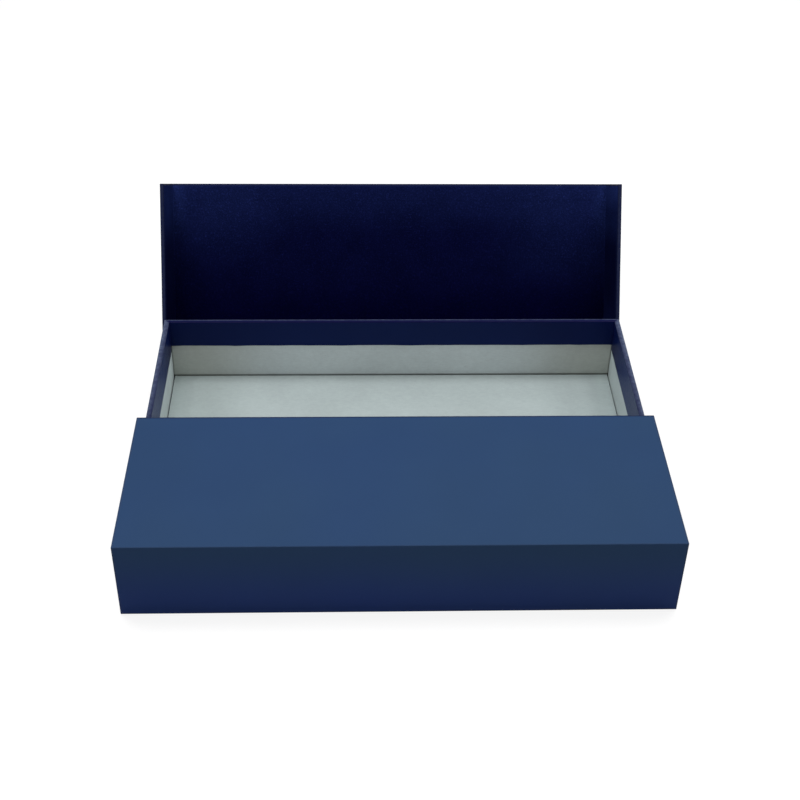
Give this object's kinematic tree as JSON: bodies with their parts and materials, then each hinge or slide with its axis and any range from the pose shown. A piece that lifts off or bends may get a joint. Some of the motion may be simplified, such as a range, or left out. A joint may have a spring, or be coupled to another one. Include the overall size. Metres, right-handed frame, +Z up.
{
  "type": "double door gift box",
  "caption": "Wrapped board gift box: half doors hinged on fold-down walls open to the front and rear over a fixed inner tray, shown with the rear door open.",
  "frame": {"origin": "middle of the base's underside, on the surface that the box stands on", "axes": "+X along the box to the right as seen from the front, +Y from the front door to the rear door, +Z up out of the tray"},
  "size_m": [0.3242, 0.3326, 0.1199],
  "materials": {
    "navy_wrap_paper": "matt dyed paper with a fine pressed grain",
    "navy_lining_paper": "matt dyed paper, darker than the wrap",
    "grey_board": "bare grey board",
    "kraft_tape": "gummed kraft paper tape"
  },
  "bodies": {
    "base": {"base_board": "grey_board", "base_wrap": "navy_wrap_paper", "base_lining": "navy_lining_paper", "tray_floor_board": "grey_board", "tray_wrap": "navy_wrap_paper", "tray_corner_tapes": "kraft_tape", "tray_front_wall": "grey_board", "tray_rear_wall": "grey_board", "tray_left_wall": "grey_board", "tray_right_wall": "grey_board", "front_bottom_fold": "navy_wrap_paper", "rear_bottom_fold": "navy_wrap_paper"},
    "front_wall": {"front_wall_board": "grey_board", "front_wall_wrap": "navy_wrap_paper", "front_wall_lining": "navy_lining_paper", "front_top_fold": "navy_wrap_paper"},
    "front_door": {"front_door_board": "grey_board", "front_door_wrap": "navy_wrap_paper", "front_door_lining": "navy_lining_paper", "front_door_corner_tapes": "kraft_tape", "front_door_left_cheek": "grey_board", "front_door_right_cheek": "grey_board"},
    "rear_wall": {"rear_wall_board": "grey_board", "rear_wall_wrap": "navy_wrap_paper", "rear_wall_lining": "navy_lining_paper", "rear_top_fold": "navy_wrap_paper"},
    "rear_door": {"rear_door_board": "grey_board", "rear_door_wrap": "navy_wrap_paper", "rear_door_lining": "navy_lining_paper", "rear_door_corner_tapes": "kraft_tape", "rear_door_left_cheek": "grey_board", "rear_door_right_cheek": "grey_board"}
  },
  "joints": [
    {"name": "front_wall_hinge", "type": "hinge", "parent": "base", "child": "front_wall", "pos_m": [0, -0.1122, 0.0006], "axis": [1, 0, 0], "range_deg": [0, 90]},
    {"name": "front_door_hinge", "type": "hinge", "parent": "front_wall", "child": "front_door", "pos_m": [0, -0.1122, 0.0534], "axis": [1, 0, 0], "range_deg": [0, 90]},
    {"name": "rear_wall_hinge", "type": "hinge", "parent": "base", "child": "rear_wall", "pos_m": [0, 0.1122, 0.0006], "axis": [1, 0, 0], "range_deg": [0, 90]},
    {"name": "rear_door_hinge", "type": "hinge", "parent": "rear_wall", "child": "rear_door", "pos_m": [0, 0.165, 0.0006], "axis": [1, 0, 0], "range_deg": [-60, 30]}
  ]
}
